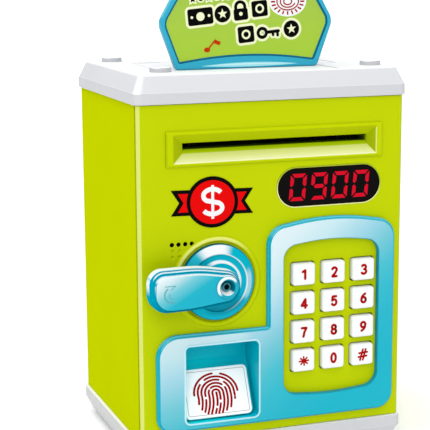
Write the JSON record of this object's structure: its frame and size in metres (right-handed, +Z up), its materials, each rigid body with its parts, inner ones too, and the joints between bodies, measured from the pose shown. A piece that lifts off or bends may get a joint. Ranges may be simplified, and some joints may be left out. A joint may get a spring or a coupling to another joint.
{
  "type": "toy savings bank",
  "caption": "Toy savings bank shaped like a cash machine: hinged front door with turning handle, keypad, reader pad and bill slot.",
  "frame": {"origin": "on the floor under the middle of the overall box, handle included", "axes": "+Z up, -Y out of the door's face towards the user, +X to the user's right"},
  "size_m": [0.1326, 0.1168, 0.2228],
  "materials": {
    "lime": "moulded lime green, satin gloss",
    "white": "moulded white, satin",
    "turquoise": "moulded turquoise, glossy",
    "sign_face": "printed yellow green",
    "smoked": "near-black window",
    "label": "printed label, black outline",
    "label_red": "printed label, red",
    "dark": "dark moulded plastic",
    "rubber": "soft black rubber",
    "grey_rubber": "grey rubber",
    "board": "green circuit board",
    "steel": "plated steel",
    "grey_plastic": "grey moulded plastic"
  },
  "bodies": {
    "cabinet": {"rear_shell": "lime", "top_cap": "white", "base_tray": "white", "foot_fl": "rubber", "foot_fr": "rubber", "foot_rl": "rubber", "foot_rr": "rubber", "hinge_pin_top": "steel", "hinge_pin_bottom": "steel", "keeper": "steel", "coin_slot_trim": "white", "sign_frame": "turquoise", "sign_panel": "sign_face"},
    "door": {"door_panel": "lime", "slot_bezel": "lime", "display_window": "smoked", "display_module": "dark", "badge_backing": "label", "badge_face": "label_red", "bezel_trim": "turquoise", "keypad_mat": "grey_rubber", "keypad_pcb": "board", "main_pcb": "board", "speaker": "dark", "inner_cover": "white", "cell_1": "steel", "cell_2": "steel", "cell_3": "steel", "battery_lid": "white", "lid_screw": "steel", "cover_screw_1": "steel", "cover_screw_2": "steel", "cover_screw_3": "steel", "dial_surround": "lime", "dial_rosette": "turquoise", "solenoid": "steel", "feed_motor": "steel", "feeder_frame": "dark"},
    "knob": {"knob_lever": "turquoise", "knob_shaft": "grey_plastic", "knob_screw": "steel", "latch_cam": "steel"},
    "key_1": {"key_1": "white"},
    "key_2": {"key_2": "white"},
    "key_3": {"key_3": "white"},
    "key_4": {"key_4": "white"},
    "key_5": {"key_5": "white"},
    "key_6": {"key_6": "white"},
    "key_7": {"key_7": "white"},
    "key_8": {"key_8": "white"},
    "key_9": {"key_9": "white"},
    "key_star": {"key_star": "white"},
    "key_0": {"key_0": "white"},
    "key_hash": {"key_hash": "white"},
    "fingerprint_pad": {"fingerprint_pad": "white"},
    "lock_plunger": {"lock_plunger": "steel"},
    "feed_roller_upper": {"feed_roller_upper": "grey_rubber"},
    "feed_roller_lower": {"feed_roller_lower": "grey_rubber"},
    "motor_pinion": {"motor_pinion": "white"}
  },
  "joints": [
    {"name": "door_hinge", "type": "hinge", "parent": "cabinet", "child": "door", "pos_m": [0.0616, -0.0395, 0.0146], "axis": [0, 0, 1], "range_deg": [0, 105]},
    {"name": "knob_turn", "type": "hinge", "parent": "door", "child": "knob", "pos_m": [-0.0282, -0.0429, 0.0883], "axis": [0, 1, 0], "range_deg": [-30, 60]},
    {"name": "key_1_press", "type": "slide", "parent": "door", "child": "key_1", "axis": [0, 1, 0], "range_m": [0, 0.0013], "stiffness_N_per_m": 400},
    {"name": "key_2_press", "type": "slide", "parent": "door", "child": "key_2", "axis": [0, 1, 0], "range_m": [0, 0.0013], "stiffness_N_per_m": 400},
    {"name": "key_3_press", "type": "slide", "parent": "door", "child": "key_3", "axis": [0, 1, 0], "range_m": [0, 0.0013], "stiffness_N_per_m": 400},
    {"name": "key_4_press", "type": "slide", "parent": "door", "child": "key_4", "axis": [0, 1, 0], "range_m": [0, 0.0013], "stiffness_N_per_m": 400},
    {"name": "key_5_press", "type": "slide", "parent": "door", "child": "key_5", "axis": [0, 1, 0], "range_m": [0, 0.0013], "stiffness_N_per_m": 400},
    {"name": "key_6_press", "type": "slide", "parent": "door", "child": "key_6", "axis": [0, 1, 0], "range_m": [0, 0.0013], "stiffness_N_per_m": 400},
    {"name": "key_7_press", "type": "slide", "parent": "door", "child": "key_7", "axis": [0, 1, 0], "range_m": [0, 0.0013], "stiffness_N_per_m": 400},
    {"name": "key_8_press", "type": "slide", "parent": "door", "child": "key_8", "axis": [0, 1, 0], "range_m": [0, 0.0013], "stiffness_N_per_m": 400},
    {"name": "key_9_press", "type": "slide", "parent": "door", "child": "key_9", "axis": [0, 1, 0], "range_m": [0, 0.0013], "stiffness_N_per_m": 400},
    {"name": "key_star_press", "type": "slide", "parent": "door", "child": "key_star", "axis": [0, 1, 0], "range_m": [0, 0.0013], "stiffness_N_per_m": 400},
    {"name": "key_0_press", "type": "slide", "parent": "door", "child": "key_0", "axis": [0, 1, 0], "range_m": [0, 0.0013], "stiffness_N_per_m": 400},
    {"name": "key_hash_press", "type": "slide", "parent": "door", "child": "key_hash", "axis": [0, 1, 0], "range_m": [0, 0.0013], "stiffness_N_per_m": 400},
    {"name": "fingerprint_press", "type": "slide", "parent": "door", "child": "fingerprint_pad", "axis": [0, 0.91, -0.4147], "range_m": [0, 0.001], "stiffness_N_per_m": 500},
    {"name": "lock_slide", "type": "slide", "parent": "door", "child": "lock_plunger", "axis": [0, 0, -1], "range_m": [-0.003, 0]},
    {"name": "feed_roller_lower_spin", "type": "hinge", "parent": "door", "child": "feed_roller_lower", "pos_m": [0, -0.0259, 0.14505], "axis": [1, 0, 0], "continuous": true},
    {"name": "feed_roller_upper_spin", "type": "hinge", "parent": "door", "child": "feed_roller_upper", "pos_m": [0, -0.0259, 0.15455], "axis": [1, 0, 0], "continuous": true},
    {"name": "motor_pinion_spin", "type": "hinge", "parent": "door", "child": "motor_pinion", "pos_m": [0, -0.0259, 0.13555], "axis": [1, 0, 0], "continuous": true}
  ],
  "couplings": [
    {"joint": "feed_roller_upper_spin", "follows": "feed_roller_lower_spin", "ratio": -1},
    {"joint": "motor_pinion_spin", "follows": "feed_roller_lower_spin", "ratio": -1}
  ]
}
